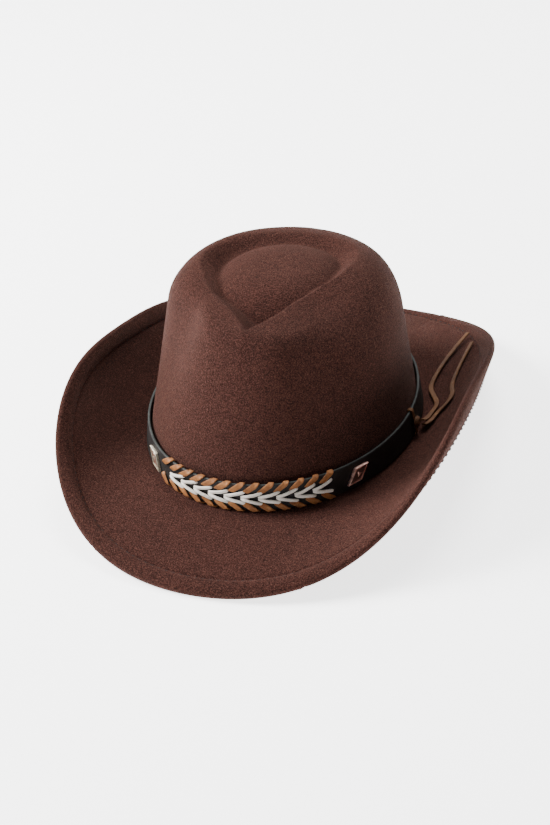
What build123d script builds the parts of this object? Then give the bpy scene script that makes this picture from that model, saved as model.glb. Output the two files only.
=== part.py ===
"""Felt western hat with a curled brim, a creased teardrop crown and a laced leather hatband.

Frame: the origin is on the table under the middle of the hat, +Z is up, the front of the hat
faces -Y and the wearer's left is +X. Angles around the hat start at the front (0 degrees) and
grow towards +X. Every length is in millimetres.
"""
import os
from math import atan2, cos, degrees, exp, hypot, pi, radians, sin, sqrt

from build123d import *

os.makedirs("parts", exist_ok=True)

# ---- driving dimensions -------------------------------------------------------------------
FELT = 2.6                   # thickness of the felt
BREAK_Z = 16.8               # height of the brim break, where crown and brim meet
CLEAR = 0.3                  # running gap between pieces that don't touch

# crown: half sizes of its outer oval at the break, and how the wall draws in with height
CROWN_SIDE = 84.6
CROWN_END = 102.3
SIDE_TAPER = 0.14
END_TAPER = 0.17
LEAN_BACK = 7.5              # backward lean at 100 mm above the break
CROWN_TOP = 103.0            # highest felt above the break
SHOULDER = 28.0              # height over which the shoulder rounds off
DENT_DEPTH = 20.0            # side dents of the front pinch
DENT_AT = 42.0
DENT_SPREAD = 24.0
NOSE_DEPTH = 20.0            # how far the nose of the pinch draws back
NOSE_SPREAD = 26.0

# top crease: the teardrop ridge at every 20 degrees from front to back, about (0, CREASE_Y)
CREASE_Y = 14.0
RIDGE_REACH = (62, 47, 35, 33, 39.5, 50, 59, 60, 56, 54)
TROUGH_SLOPE = ((106, 1.04), (99, 0.92), (93, 0.80), (88.5, 0.62))
DOME_Y = 16.0
DOME_SLOPE = ((80, 37, 41), (88, 34, 38), (95, 26, 30), (100, 17, 20), (102, 8, 10))

# brim: reach of the rolled edge from the axis and its height, every 30 degrees front to back
RIM_REACH = (167.5, 162, 140.5, 124, 136, 161, 167.5)
RIM_HEIGHT = (2.5, 14.5, 49.5, 56, 42, 16, 2.5)
ROOT_SIDE = 86.2             # oval where the flat of the break ends and the brim starts to curl
ROOT_END = 103.9
HEM_WIDTH = 9.0              # felt folded back under the edge
HEM_THICK = 5.0
WIRE_RADIUS = 0.8
THREAD_RADIUS = 0.42
STITCH_INSET = 8.2

# sweatband
SWEAT_THICK = 1.2
SWEAT_TOP = 28.0
SWEAT_DRAW = 7.4             # how far the sweatband leans in to its top edge

# hatband strap: half sizes of its outer face at the bottom and how far it draws in to the top
BAND_SIDE = 87.3
BAND_END = 105.0
BAND_LOW = 1.2
BAND_HIGH = 18.0
BAND_DRAW = 2.4
BAND_THICK = 1.8
BAND_TURN = 5.5              # the braid's middle sits this far round from the front
BRAID_HALF = 39.0            # half the angle that the braid takes up
LOOPS = 13
CHEVRONS = 10
CHEVRON_STEP = 7.0
CHEVRON_FIRST = -24.0
CONCHO_LEFT = 54.0           # where the conchos sit round the hat
CONCHO_RIGHT = -40.5
TIE_AT = 91.0
LACE_WIDTH = 3.2
TAIL_DIAMETER = 2.8
# routes of the two lace tails, from the knot along the brim towards the back
TAIL_INNER = [
    (90.0, 6.6, 25.2), (90.4, 13.5, 20.9), (91.0, 23.0, 19.8), (92.6, 33.0, 20.8), (87.4, 42.0, 19.9),
    (81.9, 51.0, 19.4), (80.8, 62.0, 19.7), (81.6, 77.0, 20.7), (84.4, 96.3, 22.6), (89.9, 113.0, 26.6),
]
TAIL_OUTER = [
    (91.6, 5.9, 22.4), (93.9, 13.0, 20.6), (95.0, 22.5, 21.3), (99.2, 31.5, 23.5), (100.6, 40.5, 25.3),
    (96.6, 50.5, 24.0), (95.3, 63.0, 24.5), (95.4, 81.9, 26.3), (96.3, 100.0, 27.8),
]


# ---- shape functions ----------------------------------------------------------------------
def cosine_terms(values):
    """Cosine series through values spaced evenly from front to back."""
    n = len(values) - 1
    terms = []
    for k in range(n + 1):
        total = sum(v * cos(k * j * pi / n) * (0.5 if j in (0, n) else 1) for j, v in enumerate(values))
        terms.append(total * (1 if k in (0, n) else 2) / n)
    return terms


def series(terms, angle):
    """Value of a cosine series at an angle in degrees."""
    return sum(c * cos(k * radians(angle)) for k, c in enumerate(terms))


REACH = cosine_terms(RIM_REACH)
RISE = cosine_terms(RIM_HEIGHT)
RIDGE = cosine_terms(RIDGE_REACH)


def oval(angle, side, end):
    """Radius of an oval with the given half sizes."""
    return 1 / sqrt((sin(radians(angle)) / side) ** 2 + (cos(radians(angle)) / end) ** 2)


def from_front(angle):
    """Angle away from the front, 0 to 180 degrees."""
    return abs((angle + 180) % 360 - 180)


def crown_radius(angle, height, inward=0.0):
    """Radius of the crown's wall at a height above the break."""
    wall = oval(angle, CROWN_SIDE - SIDE_TAPER * height, CROWN_END - END_TAPER * height)
    off = from_front(angle)
    pull = max(0, (height - 20) / 80) ** 1.25
    wall -= DENT_DEPTH * exp(-((off - DENT_AT) / DENT_SPREAD) ** 2) * pull
    wall -= NOSE_DEPTH * exp(-(off / NOSE_SPREAD) ** 2) * pull
    drop = CROWN_TOP - inward - height
    if drop < SHOULDER:
        wall -= (sqrt(SHOULDER) - sqrt(max(0, drop))) ** 2
    return wall - inward


def crown_outline(height, inward=0.0, step=12):
    """Points round the crown's wall at a height, as (x, y)."""
    shift = LEAN_BACK * (height / 100) ** 2
    points = []
    for i in range(int(360 / step)):
        a = radians(i * step)
        r = crown_radius(i * step, height, inward)
        points.append((r * sin(a), shift - r * cos(a)))
    return points


def ridge_outline(share, grow):
    """Points round the teardrop ridge, drawn in to a share of its size, as (x, y)."""
    points = []
    for i in range(24):
        a = radians(15 * i)
        r = share * series(RIDGE, 15 * i) + grow
        points.append((r * sin(a), CREASE_Y - r * cos(a)))
    return points


def brim_point(angle, along, offset=0.0):
    """Point (radius, z) on the brim's curl: along 0 at the root to 1 at the edge, offset upwards."""
    start = -1 - 5 * cos(2 * radians(angle))
    root = oval(angle, ROOT_SIDE, ROOT_END)
    end_r = series(REACH, angle)
    end_z = series(RISE, angle)
    for _ in range(2):
        chord = degrees(atan2(end_z - BREAK_Z, end_r - root))
        last = radians(2 * chord - start)
        end_r = series(REACH, angle) - HEM_THICK / 2 * sin(last)
        end_z = series(RISE, angle) + HEM_THICK / 2 * cos(last)
    chord = degrees(atan2(end_z - BREAK_Z, end_r - root))
    half = chord - start
    if abs(half) < 0.6:
        half = 0.6 if half >= 0 else -0.6
    bend = hypot(end_r - root, end_z - BREAK_Z) / (2 * sin(radians(half)))
    here = radians(start + 2 * half * along)
    first = radians(start)
    r = root + bend * (sin(here) - sin(first)) - offset * sin(here)
    z = BREAK_Z + bend * (cos(first) - cos(here)) + offset * cos(here)
    return r, z


def brim_length(angle):
    """Length of the brim's upper face from root to edge."""
    last = brim_point(angle, 0)
    total = 0
    for i in range(1, 21):
        now = brim_point(angle, i / 20)
        total += hypot(now[0] - last[0], now[1] - last[1])
        last = now
    return total


def upright(angle):
    """Upright plane through the hat's axis: local x is outwards and local y is up."""
    a = radians(angle)
    return Plane(origin=(0, 0, 0), x_dir=(sin(a), -cos(a), 0), z_dir=(-cos(a), -sin(a), 0))


def band_plane(angle, height, out=0.0):
    """Plane on the strap's outer face: local x runs round the hat, local y up, local z outwards."""
    a = radians(angle)
    draw = BAND_DRAW * (height - BAND_LOW) / (BAND_HIGH - BAND_LOW)
    side = BAND_SIDE - draw
    end = BAND_END - draw
    normal = Vector(sin(a) / side, -cos(a) / end, 0).normalized()
    lean = BAND_DRAW / (BAND_HIGH - BAND_LOW)
    normal = (normal + Vector(0, 0, lean)).normalized()
    point = Vector(side * sin(a), -end * cos(a), BREAK_Z + height) + normal * out
    return Plane(origin=point, x_dir=(side * cos(a), end * sin(a), 0), z_dir=normal)


def oval_ring(low, high, side, end, draw, thick):
    """Oval ring that leans inwards by draw from its lower to its upper edge."""
    with BuildPart() as ring:
        for grow, mode in ((0, Mode.ADD), (-thick, Mode.SUBTRACT)):
            with BuildSketch(Plane.XY.offset(BREAK_Z + low)):
                Ellipse(side + grow, end + grow)
            with BuildSketch(Plane.XY.offset(BREAK_Z + high)):
                Ellipse(side + grow - draw, end + grow - draw)
            loft(mode=mode)
    return ring.part


# ---- felt body ----------------------------------------------------------------------------
def crown_solid(heights, inward):
    """Loft of the crown's wall, with the crease sunk into its top and the dome standing in it."""
    with BuildPart() as body:
        for h in heights:
            with BuildSketch(Plane.XY.offset(BREAK_Z + h)):
                with BuildLine():
                    Spline(*crown_outline(h, inward), periodic=True)
                make_face()
        loft()
        for h, share in TROUGH_SLOPE:
            with BuildSketch(Plane.XY.offset(BREAK_Z + h - inward)):
                with BuildLine():
                    Spline(*ridge_outline(share, inward), periodic=True)
                make_face()
        loft(mode=Mode.SUBTRACT)
        for h, side, end in DOME_SLOPE:
            with BuildSketch(Plane.XY.offset(BREAK_Z + h - inward)):
                with Locations((0, DOME_Y)):
                    Ellipse(side - inward, end - inward)
        loft()
    return body.part


OUTER = crown_solid((0, 9, 18, 40, 60, 75, 86, 94, 99, 102), 0)
INNER = crown_solid((-2, 9, 18, 40, 60, 72, 83, 91, 96, 99), FELT)

with BuildPart() as crown:
    add(OUTER)
    add(INNER, mode=Mode.SUBTRACT)
crown.part.label = "crown"
export_step(crown.part, "parts/crown.step")


def mirrored_ring(sections, ruled=False):
    """Loft half a ring through upright sections and mirror it over the hat's middle."""
    with BuildPart() as ring:
        loft(sections, ruled=ruled)
        split(bisect_by=Plane.YZ)
        mirror(about=Plane.YZ)
    return ring.part


def brim_section(angle):
    """Upright section of the brim's felt, with its hem folded back underneath."""
    inner = oval(angle, CROWN_SIDE, CROWN_END) - FELT
    root = oval(angle, ROOT_SIDE, ROOT_END)
    hem = 1 - HEM_WIDTH / brim_length(angle)
    centre = brim_point(angle, 1, -HEM_THICK / 2)
    top = brim_point(angle, 1)
    low = brim_point(angle, 1, -HEM_THICK)
    nose = (centre[0] + top[1] - centre[1], centre[1] + centre[0] - top[0])
    fold = brim_point(angle, hem, -HEM_THICK)
    step = brim_point(angle, hem, -FELT)
    under = brim_point(angle, 0, -FELT)
    with BuildSketch(upright(angle)) as section:
        with BuildLine():
            Line((inner, BREAK_Z), (root, BREAK_Z))
            ThreePointArc((root, BREAK_Z), brim_point(angle, 0.5), top)
            ThreePointArc(top, nose, low)
            ThreePointArc(low, brim_point(angle, (1 + hem) / 2, -HEM_THICK), fold)
            Line(fold, step)
            ThreePointArc(step, brim_point(angle, hem / 2, -FELT), under)
            Line(under, (inner, BREAK_Z - FELT))
            Line((inner, BREAK_Z - FELT), (inner, BREAK_Z))
        make_face()
    return section.sketch


def wire_section(angle, radius):
    """Upright round section at the middle of the brim's edge."""
    with BuildSketch(upright(angle)) as section:
        with Locations(brim_point(angle, 1, -HEM_THICK / 2)):
            RegularPolygon(radius, 8)
    return section.sketch


SECTIONS = [15 * i for i in range(-1, 14)]
FELT_BRIM = mirrored_ring([brim_section(a) for a in SECTIONS])
FINE = [7.5 * i for i in range(-1, 26)]
CHANNEL = mirrored_ring([wire_section(a, WIRE_RADIUS + 0.15) for a in FINE], True)
WIRE = mirrored_ring([wire_section(a, WIRE_RADIUS) for a in FINE], True)

with BuildPart() as brim:
    add(FELT_BRIM)
    add(CHANNEL, mode=Mode.SUBTRACT)
brim.part.label = "brim"
export_step(brim.part, "parts/brim.step")
print("brim", brim.part.volume, brim.part.is_valid, brim.part.bounding_box())

with BuildPart() as brim_wire:
    add(WIRE)
brim_wire.part.label = "brim_wire"
export_step(brim_wire.part, "parts/brim_wire.step")
print("wire", brim_wire.part.volume, brim_wire.part.is_valid, brim_wire.part.bounding_box())

# ---- stitching and sweatband --------------------------------------------------------------
def thread_section(angle, offset):
    """Upright section of the thread that holds the hem down, off the brim's upper face by offset."""
    along = 1 - STITCH_INSET / brim_length(angle)
    with BuildSketch(upright(angle)) as section:
        with Locations(brim_point(angle, along, offset)):
            RegularPolygon(THREAD_RADIUS, 6)
    return section.sketch


FINER = [3.75 * i for i in range(-1, 50)]
with BuildPart() as hem_stitching:
    for offset in (0.62, -HEM_THICK - 0.62):
        add(mirrored_ring([thread_section(a, offset) for a in FINER], True))
hem_stitching.part.label = "hem_stitching"
export_step(hem_stitching.part, "parts/hem_stitching.step")

SWEAT_OUT = FELT + CLEAR
with BuildPart() as sweatband:
    add(oval_ring(-FELT, SWEAT_TOP, CROWN_SIDE - SWEAT_OUT, CROWN_END - SWEAT_OUT, SWEAT_DRAW, SWEAT_THICK))
sweatband.part.label = "sweatband"
export_step(sweatband.part, "parts/sweatband.step")


SEAM_IN = SWEAT_OUT + SWEAT_THICK + 0.9
with BuildPart() as sweatband_stitching:
    add(oval_ring(-0.4, 0.3, CROWN_SIDE - SEAM_IN, CROWN_END - SEAM_IN, 0.2, 0.6))
sweatband_stitching.part.label = "sweatband_stitching"
export_step(sweatband_stitching.part, "parts/sweatband_stitching.step")

# ---- hatband ------------------------------------------------------------------------------
CONCHOS = {"left": CONCHO_LEFT, "right": CONCHO_RIGHT}
MIDDLE = (BAND_LOW + BAND_HIGH) / 2
POST_RADIUS = 1.5

with BuildPart() as band_strap:
    add(oval_ring(BAND_LOW, BAND_HIGH, BAND_SIDE, BAND_END, BAND_DRAW, BAND_THICK))
    with BuildSketch(band_plane(TIE_AT, MIDDLE, -6)):
        Rectangle(0.5, 40)
    extrude(amount=12, mode=Mode.SUBTRACT)
    with Locations([band_plane(a, MIDDLE, 0) for a in CONCHOS.values()]):
        Cylinder(POST_RADIUS + 0.05, 12, mode=Mode.SUBTRACT)
band_strap.part.label = "band_strap"
export_step(band_strap.part, "parts/band_strap.step")

LOOP_ANGLES = [BAND_TURN + BRAID_HALF * (2 * (i + 0.5) / LOOPS - 1) for i in range(LOOPS)]
OUT_THICK = 0.9
BACK_THICK = 0.5


def edge_loop(angle, height, side):
    """One slanted lace turn over an edge of the strap: side is 1 at the top, -1 at the bottom."""
    plane = band_plane(angle, height)
    cap = 1.0 if side == 1 else -0.7
    with BuildPart() as turn:
        with BuildSketch(plane.offset(0.16)):
            with BuildLine():
                Polyline((-4.4, -3.8 * side), (-1.2, -3.8 * side), (1.6, cap), (-1.6, cap), close=True)
            make_face()
        extrude(amount=OUT_THICK)
        with BuildSketch(plane.offset(-BAND_THICK - 0.1 - BACK_THICK)):
            with Locations((0, cap - 0.3 * side)):
                Rectangle(LACE_WIDTH, 0.6)
        extrude(amount=BAND_THICK + 0.2 + BACK_THICK + OUT_THICK * 0.7)
        with BuildSketch(plane.offset(-BAND_THICK - 0.1)):
            with Locations((0, cap - 1.9 * side)):
                Rectangle(LACE_WIDTH, 3.8)
        extrude(amount=-BACK_THICK)
    return turn.part


with BuildPart() as top_edge_lacing:
    add([edge_loop(a, BAND_HIGH, 1) for a in LOOP_ANGLES])
top_edge_lacing.part.label = "top_edge_lacing"
export_step(top_edge_lacing.part, "parts/top_edge_lacing.step")

with BuildPart() as bottom_edge_lacing:
    add([edge_loop(a, BAND_LOW, -1) for a in LOOP_ANGLES])
bottom_edge_lacing.part.label = "bottom_edge_lacing"
export_step(bottom_edge_lacing.part, "parts/bottom_edge_lacing.step")

CHEVRON_ANGLES = [CHEVRON_FIRST + CHEVRON_STEP * i for i in range(CHEVRONS)]
with BuildPart() as chevron_lacing:
    for angle in CHEVRON_ANGLES:
        with BuildSketch(band_plane(angle, MIDDLE, 0.15)):
            for side in (1, -1):
                with Locations((-0.4, 1.85 * side)):
                    SlotOverall(10.2, 2.3, rotation=20 * side)
        extrude(amount=1.1)
chevron_lacing.part.label = "chevron_lacing"
export_step(chevron_lacing.part, "parts/chevron_lacing.step")


def rhomb(width, height, lean):
    """Corners of a leaning four-sided plate."""
    x, y = width / 2, height / 2
    return [(-x - lean, -y), (x - lean, -y), (x + lean, y), (-x + lean, y)]


def concho_plate(angle, lean):
    """Raised diamond plate with a sunk field and a small facet."""
    plane = band_plane(angle, MIDDLE, 0.15)
    with BuildPart() as plate:
        with BuildSketch(plane):
            Polygon(*rhomb(10.4, 9.4, lean), align=None)
        extrude(amount=1.6)
        chamfer(plate.faces().sort_by(Axis(plane.origin, plane.z_dir))[-1].edges(), 0.35)
        with BuildSketch(plane.offset(1.6)):
            Polygon(*rhomb(7.6, 6.8, lean * 0.72), align=None)
        extrude(amount=-0.7, mode=Mode.SUBTRACT)
        with BuildSketch(plane.offset(0.9)):
            Polygon((-2.2 + lean * 0.3, 1.6), (2.0 + lean * 0.3, 1.6), (0, -1.8), align=None)
        extrude(amount=0.5)
    return plate.part


def concho_screw(angle):
    """Threaded post through the strap with its flat head behind it."""
    plane = band_plane(angle, MIDDLE, 0)
    with BuildPart() as screw:
        with BuildSketch(plane.offset(0.15)):
            Circle(POST_RADIUS)
        extrude(amount=-BAND_THICK - 0.3)
        with BuildSketch(plane.offset(-BAND_THICK - 0.15)):
            Circle(3.2)
        extrude(amount=-0.5)
    return screw.part


for name, angle in CONCHOS.items():
    plate = concho_plate(angle, 3.4 if name == "left" else -3.4)
    plate.label = "concho_" + name
    export_step(plate, f"parts/concho_{name}.step")
    screw = concho_screw(angle)
    screw.label = "concho_screw_" + name
    export_step(screw, f"parts/concho_screw_{name}.step")

# ---- tie ----------------------------------------------------------------------------------
TIE = band_plane(TIE_AT, MIDDLE)
HALF_HIGH = (BAND_HIGH - BAND_LOW) / 2
with BuildPart() as tie_loop:
    with BuildSketch(TIE.offset(0.1)):
        with Locations((0, 0.2)):
            Rectangle(LACE_WIDTH, 2 * HALF_HIGH + 2.0)
    extrude(amount=1.1)
    with BuildSketch(TIE.offset(-BAND_THICK - 0.1)):
        with Locations((0, 0.2)):
            Rectangle(LACE_WIDTH, 2 * HALF_HIGH + 2.0)
    extrude(amount=-0.5)
    with BuildSketch(TIE.offset(-BAND_THICK - 0.6)):
        with Locations((0, HALF_HIGH + 0.85), (0, -HALF_HIGH - 0.5)):
            Rectangle(LACE_WIDTH, 0.6)
    extrude(amount=BAND_THICK + 1.8)
tie_loop.part.label = "tie_loop"
export_step(tie_loop.part, "parts/tie_loop.step")

with BuildPart() as tie_knot:
    with BuildSketch(TIE.offset(1.2)):
        Ellipse(4.6, 3.4)
    with BuildSketch(TIE.offset(2.6)):
        Ellipse(5.2, 4.0)
    with BuildSketch(TIE.offset(4.6)):
        Ellipse(3.4, 2.4)
    loft()
tie_knot.part.label = "tie_knot"
export_step(tie_knot.part, "parts/tie_knot.step")


def lace_tail(route):
    """Tube along the route, with each corner rounded as far as its two runs allow."""
    points = [Vector(*p) for p in route]
    radii = []
    for before, here, after in zip(points, points[1:], points[2:]):
        turn = (here - before).get_angle(after - here)
        short = min((here - before).length, (after - here).length)
        radii.append(0.45 * short / (sin(radians(turn / 2)) / cos(radians(turn / 2))))
    print("tail radii", [round(r, 1) for r in radii])
    with BuildPart() as tube:
        with BuildLine() as path:
            FilletPolyline(*points, radius=radii)
        with BuildSketch(Plane(origin=path.line @ 0, z_dir=path.line % 0)):
            Circle(TAIL_DIAMETER / 2)
        sweep()
    length = sum(edge.length for edge in path.line.edges())
    print("tail length", length, "volume over section", tube.part.volume / (pi * (TAIL_DIAMETER / 2) ** 2))
    return tube.part


for name, route in (("inner", TAIL_INNER), ("outer", TAIL_OUTER)):
    tail = lace_tail(route)
    tail.label = "lace_tail_" + name
    export_step(tail, f"parts/lace_tail_{name}.step")
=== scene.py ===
"""A brown felt western hat with a laced leather band, built over its CAD frame.

Lengths are in millimetres until a mesh is made, and metres in the scene. The origin is on the
table under the hat, +Z is up, the front faces -Y and the wearer's left is +X. Angles round the
hat start at the front and grow towards +X.
"""
import functools
import logging
import math
import random
from dataclasses import dataclass, field
from enum import Enum
from typing import Callable, Iterable, Sequence

import bmesh
import bpy
import numpy as np
from mathutils import Matrix, Vector


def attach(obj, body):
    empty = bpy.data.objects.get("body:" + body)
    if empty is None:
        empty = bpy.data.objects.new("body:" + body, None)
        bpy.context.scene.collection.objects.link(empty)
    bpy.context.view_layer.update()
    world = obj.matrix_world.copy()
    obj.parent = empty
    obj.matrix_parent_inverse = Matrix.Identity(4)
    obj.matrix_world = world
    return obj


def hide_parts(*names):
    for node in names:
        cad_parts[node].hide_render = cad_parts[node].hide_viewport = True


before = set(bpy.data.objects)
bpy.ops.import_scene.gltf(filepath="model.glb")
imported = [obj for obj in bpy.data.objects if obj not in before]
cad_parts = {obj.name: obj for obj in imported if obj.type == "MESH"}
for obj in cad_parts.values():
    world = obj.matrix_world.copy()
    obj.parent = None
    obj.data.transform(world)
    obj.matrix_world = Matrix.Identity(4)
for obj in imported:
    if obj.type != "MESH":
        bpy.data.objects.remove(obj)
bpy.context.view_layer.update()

log = logging.getLogger("hat")
MM = 0.001


class BodyName(Enum):
    """The rigid bodies that pieces ride on."""

    HAT = "hat"
    BAND = "hatband"


# ---- shape of the hat ---------------------------------------------------------------------
@functools.lru_cache(maxsize=None)
def cosine_terms(values: tuple) -> list[float]:
    """Cosine series through values spaced evenly from front to back.

    Args:
        values: the values, front first.

    Returns:
        The series' coefficients.
    """
    n = len(values) - 1
    terms = []
    for k in range(n + 1):
        total = sum(v * math.cos(k * j * math.pi / n) * (0.5 if j in (0, n) else 1.0)
                    for j, v in enumerate(values))
        terms.append(total * (1.0 if k in (0, n) else 2.0) / n)
    return terms


def series(terms: Sequence[float], angle):
    """Value of a cosine series at an angle in radians, or at an array of them."""
    return sum(c * np.cos(k * angle) for k, c in enumerate(terms))


def smooth(value):
    """Smooth step from 0 to 1."""
    value = np.clip(value, 0.0, 1.0)
    return value * value * (3 - 2 * value)


def oval(angle, side, end):
    """Radius of an oval with the given half sizes at an angle in radians."""
    return 1 / np.sqrt((np.sin(angle) / side) ** 2 + (np.cos(angle) / end) ** 2)


@dataclass(frozen=True)
class HatShape:
    """Driving sizes of the felt and of the band, and the surfaces they give."""

    felt: float = 2.6
    break_z: float = 16.8
    crown_side: float = 84.6
    crown_end: float = 102.3
    side_taper: float = 0.135
    end_taper: float = 0.17
    lean: float = 7.5
    dent_depth: float = 20.0
    dent_at: float = 42.0
    dent_spread: float = 24.0
    nose_depth: float = 20.0
    nose_spread: float = 26.0
    crease_y: float = 14.0
    ridge_left: tuple = (54, 44, 35, 32, 34, 38.5, 47, 53, 53, 52)
    ridge_right: tuple = (54, 51, 49, 48.5, 52, 57, 58, 55, 52.5, 52)
    ridge_height: tuple = (97, 98.5, 99.5, 100.5, 101.5, 102, 101.5, 100.5, 99.5, 99.5)
    tip: float = 15.0
    trough: float = 14.0
    dome_height: float = 102.0
    dome_reach: float = 37.5
    dome_x: float = -4.0
    dome_y: float = 18.0
    rim_reach: tuple = (167.5, 162, 140.5, 124, 136, 161, 167.5)
    rim_height: tuple = (2.5, 14.5, 49.5, 56, 42, 16, 2.5)
    root_side: float = 86.2
    root_end: float = 103.9
    hem_width: float = 9.0
    hem_thick: float = 5.0
    band_side: float = 87.3
    band_end: float = 105.0
    band_low: float = 1.2
    band_high: float = 18.0
    band_draw: float = 2.4
    band_thick: float = 1.8

    def wall(self, angle, height):
        """Radius of the crown's wall at a height above the break."""
        radius = oval(angle, self.crown_side - self.side_taper * height,
                      self.crown_end - self.end_taper * height)
        off = np.degrees(np.abs((angle + np.pi) % (2 * np.pi) - np.pi))
        pull = np.clip((height - 12) / 88, 0, 1.4) ** 1.25
        dent = self.dent_depth * np.exp(-((off - self.dent_at) / self.dent_spread) ** 2)
        nose = self.nose_depth * np.exp(-(off / self.nose_spread) ** 2)
        return radius - (dent + nose) * pull

    def crease(self, x, y):
        """Height above the break of the creased top over a point."""
        angle = np.arctan2(x, self.crease_y - y)
        off = np.degrees(np.abs(angle))
        left = series(cosine_terms(self.ridge_left), angle)
        right = series(cosine_terms(self.ridge_right), angle)
        # the crease was pressed by hand, so it sits a little to the right and ends in a sharp tip
        reach = np.where(angle > 0, left, right) + self.tip * np.exp(-off / 7.0)
        ridge = series(cosine_terms(self.ridge_height), angle)
        out = np.hypot(x, y - self.crease_y)
        share = out / reach
        climb = np.clip((share - 0.5) / 0.5, 0, 1)
        soft = smooth((off - 80) / 50)
        bowl = ridge - (self.trough + 4 * (angle < 0) * np.sin(angle) ** 2) * (1 - climb ** 1.6 * (1 - soft) - smooth(climb) * soft)
        lift = np.hypot(x - self.dome_x, y - self.dome_y) / self.dome_reach
        dome = self.dome_height - 7 * np.minimum(lift, 1.5) ** 3.5
        mix = np.clip(0.5 + (dome - bowl) / 7, 0, 1)
        inside = dome * mix + bowl * (1 - mix) + 3 * mix * (1 - mix)
        fall = 0.11 + 0.06 * np.sin(angle) + 0.26 * np.maximum(np.sin(angle), 0) * np.exp(-((off - 48) / 34) ** 2)
        return np.where(share > 1, ridge - fall * (out - reach), inside)

    def crown_field(self, x, y, height):
        """Positive inside the crown and negative outside it."""
        shifted = y - self.lean * (height / 100) ** 2
        angle = np.arctan2(x, -shifted)
        side = self.wall(angle, height) - np.hypot(x, shifted)
        top = self.crease(x, y) - height
        about = np.arctan2(x, self.crease_y - y)
        off = np.degrees(np.abs(about))
        # the right shoulder is fuller than the left one
        round_off = 5 + (23 + 11 * np.minimum(np.sin(about), 0)) * smooth((off - 20) / 70)
        mix = np.clip(0.5 + 0.5 * (top - side) / round_off, 0, 1)
        return top * (1 - mix) + side * mix - round_off * mix * (1 - mix)

    @functools.lru_cache(maxsize=None)
    def brim_arc(self, degrees: float) -> tuple[float, float, float, float]:
        """Arc of the brim's upper face at an angle.

        Args:
            degrees: the angle round the hat.

        Returns:
            Root radius, bend radius, first slope and total turn in radians.
        """
        angle = math.radians(degrees)
        start = math.radians(-1 - 5 * math.cos(2 * angle))
        root = float(oval(angle, self.root_side, self.root_end))
        reach = float(series(cosine_terms(self.rim_reach), angle))
        rise = float(series(cosine_terms(self.rim_height), angle))
        end_r, end_z = reach, rise
        for _ in range(2):
            last = 2 * math.atan2(end_z - self.break_z, end_r - root) - start
            end_r = reach - self.hem_thick / 2 * math.sin(last)
            end_z = rise + self.hem_thick / 2 * math.cos(last)
        half = math.atan2(end_z - self.break_z, end_r - root) - start
        if abs(half) < 0.01:
            half = math.copysign(0.01, half)
        bend = math.hypot(end_r - root, end_z - self.break_z) / (2 * math.sin(half))
        return root, bend, start, 2 * half

    def brim_at(self, degrees: float, along: float, offset: float = 0.0) -> Vector:
        """Point on the brim: along runs 0 to 1 from root to edge, offset is upwards.

        Args:
            degrees: the angle round the hat.
            along: share of the way to the edge, which may be over 1.
            offset: distance off the upper face.

        Returns:
            The point in millimetres.
        """
        root, bend, first, turn = self.brim_arc(degrees)
        here = first + turn * along
        radius = root + bend * (math.sin(here) - math.sin(first)) - offset * math.sin(here)
        z = self.break_z + bend * (math.cos(first) - math.cos(here)) + offset * math.cos(here)
        angle = math.radians(degrees)
        return Vector((radius * math.sin(angle), -radius * math.cos(angle), z))

    def brim_length(self, degrees: float) -> float:
        """Length of the brim's upper face from root to edge."""
        _, bend, _, turn = self.brim_arc(degrees)
        return abs(bend * turn)

    def band_frame(self, degrees: float, height: float) -> Matrix:
        """Frame on the strap's outer face.

        Args:
            degrees: the angle round the hat.
            height: height above the break.

        Returns:
            A matrix whose x runs round the hat, y up and z outwards, in millimetres.
        """
        angle = math.radians(degrees)
        slope = self.band_draw / (self.band_high - self.band_low)
        draw = slope * (height - self.band_low)
        side, end = self.band_side - draw, self.band_end - draw
        out = Vector((math.sin(angle) / side, -math.cos(angle) / end, 0)).normalized()
        out = (out + Vector((0, 0, slope))).normalized()
        run = Vector((side * math.cos(angle), end * math.sin(angle), 0)).normalized()
        up = out.cross(run)
        place = Vector((side * math.sin(angle), -end * math.cos(angle), self.break_z + height))
        return Matrix.Translation(place) @ Matrix((run, up, out)).transposed().to_4x4()

    def on_band(self, degrees: float, x: float, y: float, z: float) -> Vector:
        """Point on the curved strap, x mm round from an angle, y up from its middle, z out."""
        angle = math.radians(degrees)
        speed = math.hypot(self.band_side * math.cos(angle), self.band_end * math.sin(angle))
        place = self.band_frame(degrees + math.degrees(x / speed), self.middle + y)
        return place @ Vector((0, 0, z))

    @property
    def middle(self) -> float:
        """Height of the strap's middle above the break."""
        return (self.band_low + self.band_high) / 2


SHAPE = HatShape()


# ---- mesh helpers -------------------------------------------------------------------------
def new_piece(name: str, mesh_bm: bmesh.types.BMesh, body: BodyName, material: bpy.types.Material,
              smooth_faces: bool = True) -> bpy.types.Object:
    """Turn a bmesh in millimetres into a finished piece.

    Args:
        name: the piece's name.
        mesh_bm: its mesh, which is freed.
        body: the body it rides on.
        material: its finish.
        smooth_faces: whether faces are shaded smooth.

    Returns:
        The new object.
    """
    bmesh.ops.scale(mesh_bm, vec=(MM, MM, MM), verts=mesh_bm.verts)
    bmesh.ops.recalc_face_normals(mesh_bm, faces=mesh_bm.faces)
    mesh = bpy.data.meshes.new(name)
    for face in mesh_bm.faces:
        face.smooth = smooth_faces
    mesh_bm.to_mesh(mesh)
    mesh_bm.free()
    piece = bpy.data.objects.new(name, mesh)
    bpy.context.scene.collection.objects.link(piece)
    mesh.materials.append(material)
    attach(piece, body.value)
    log.info("%s: %d faces", name, len(mesh.polygons))
    return piece


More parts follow.
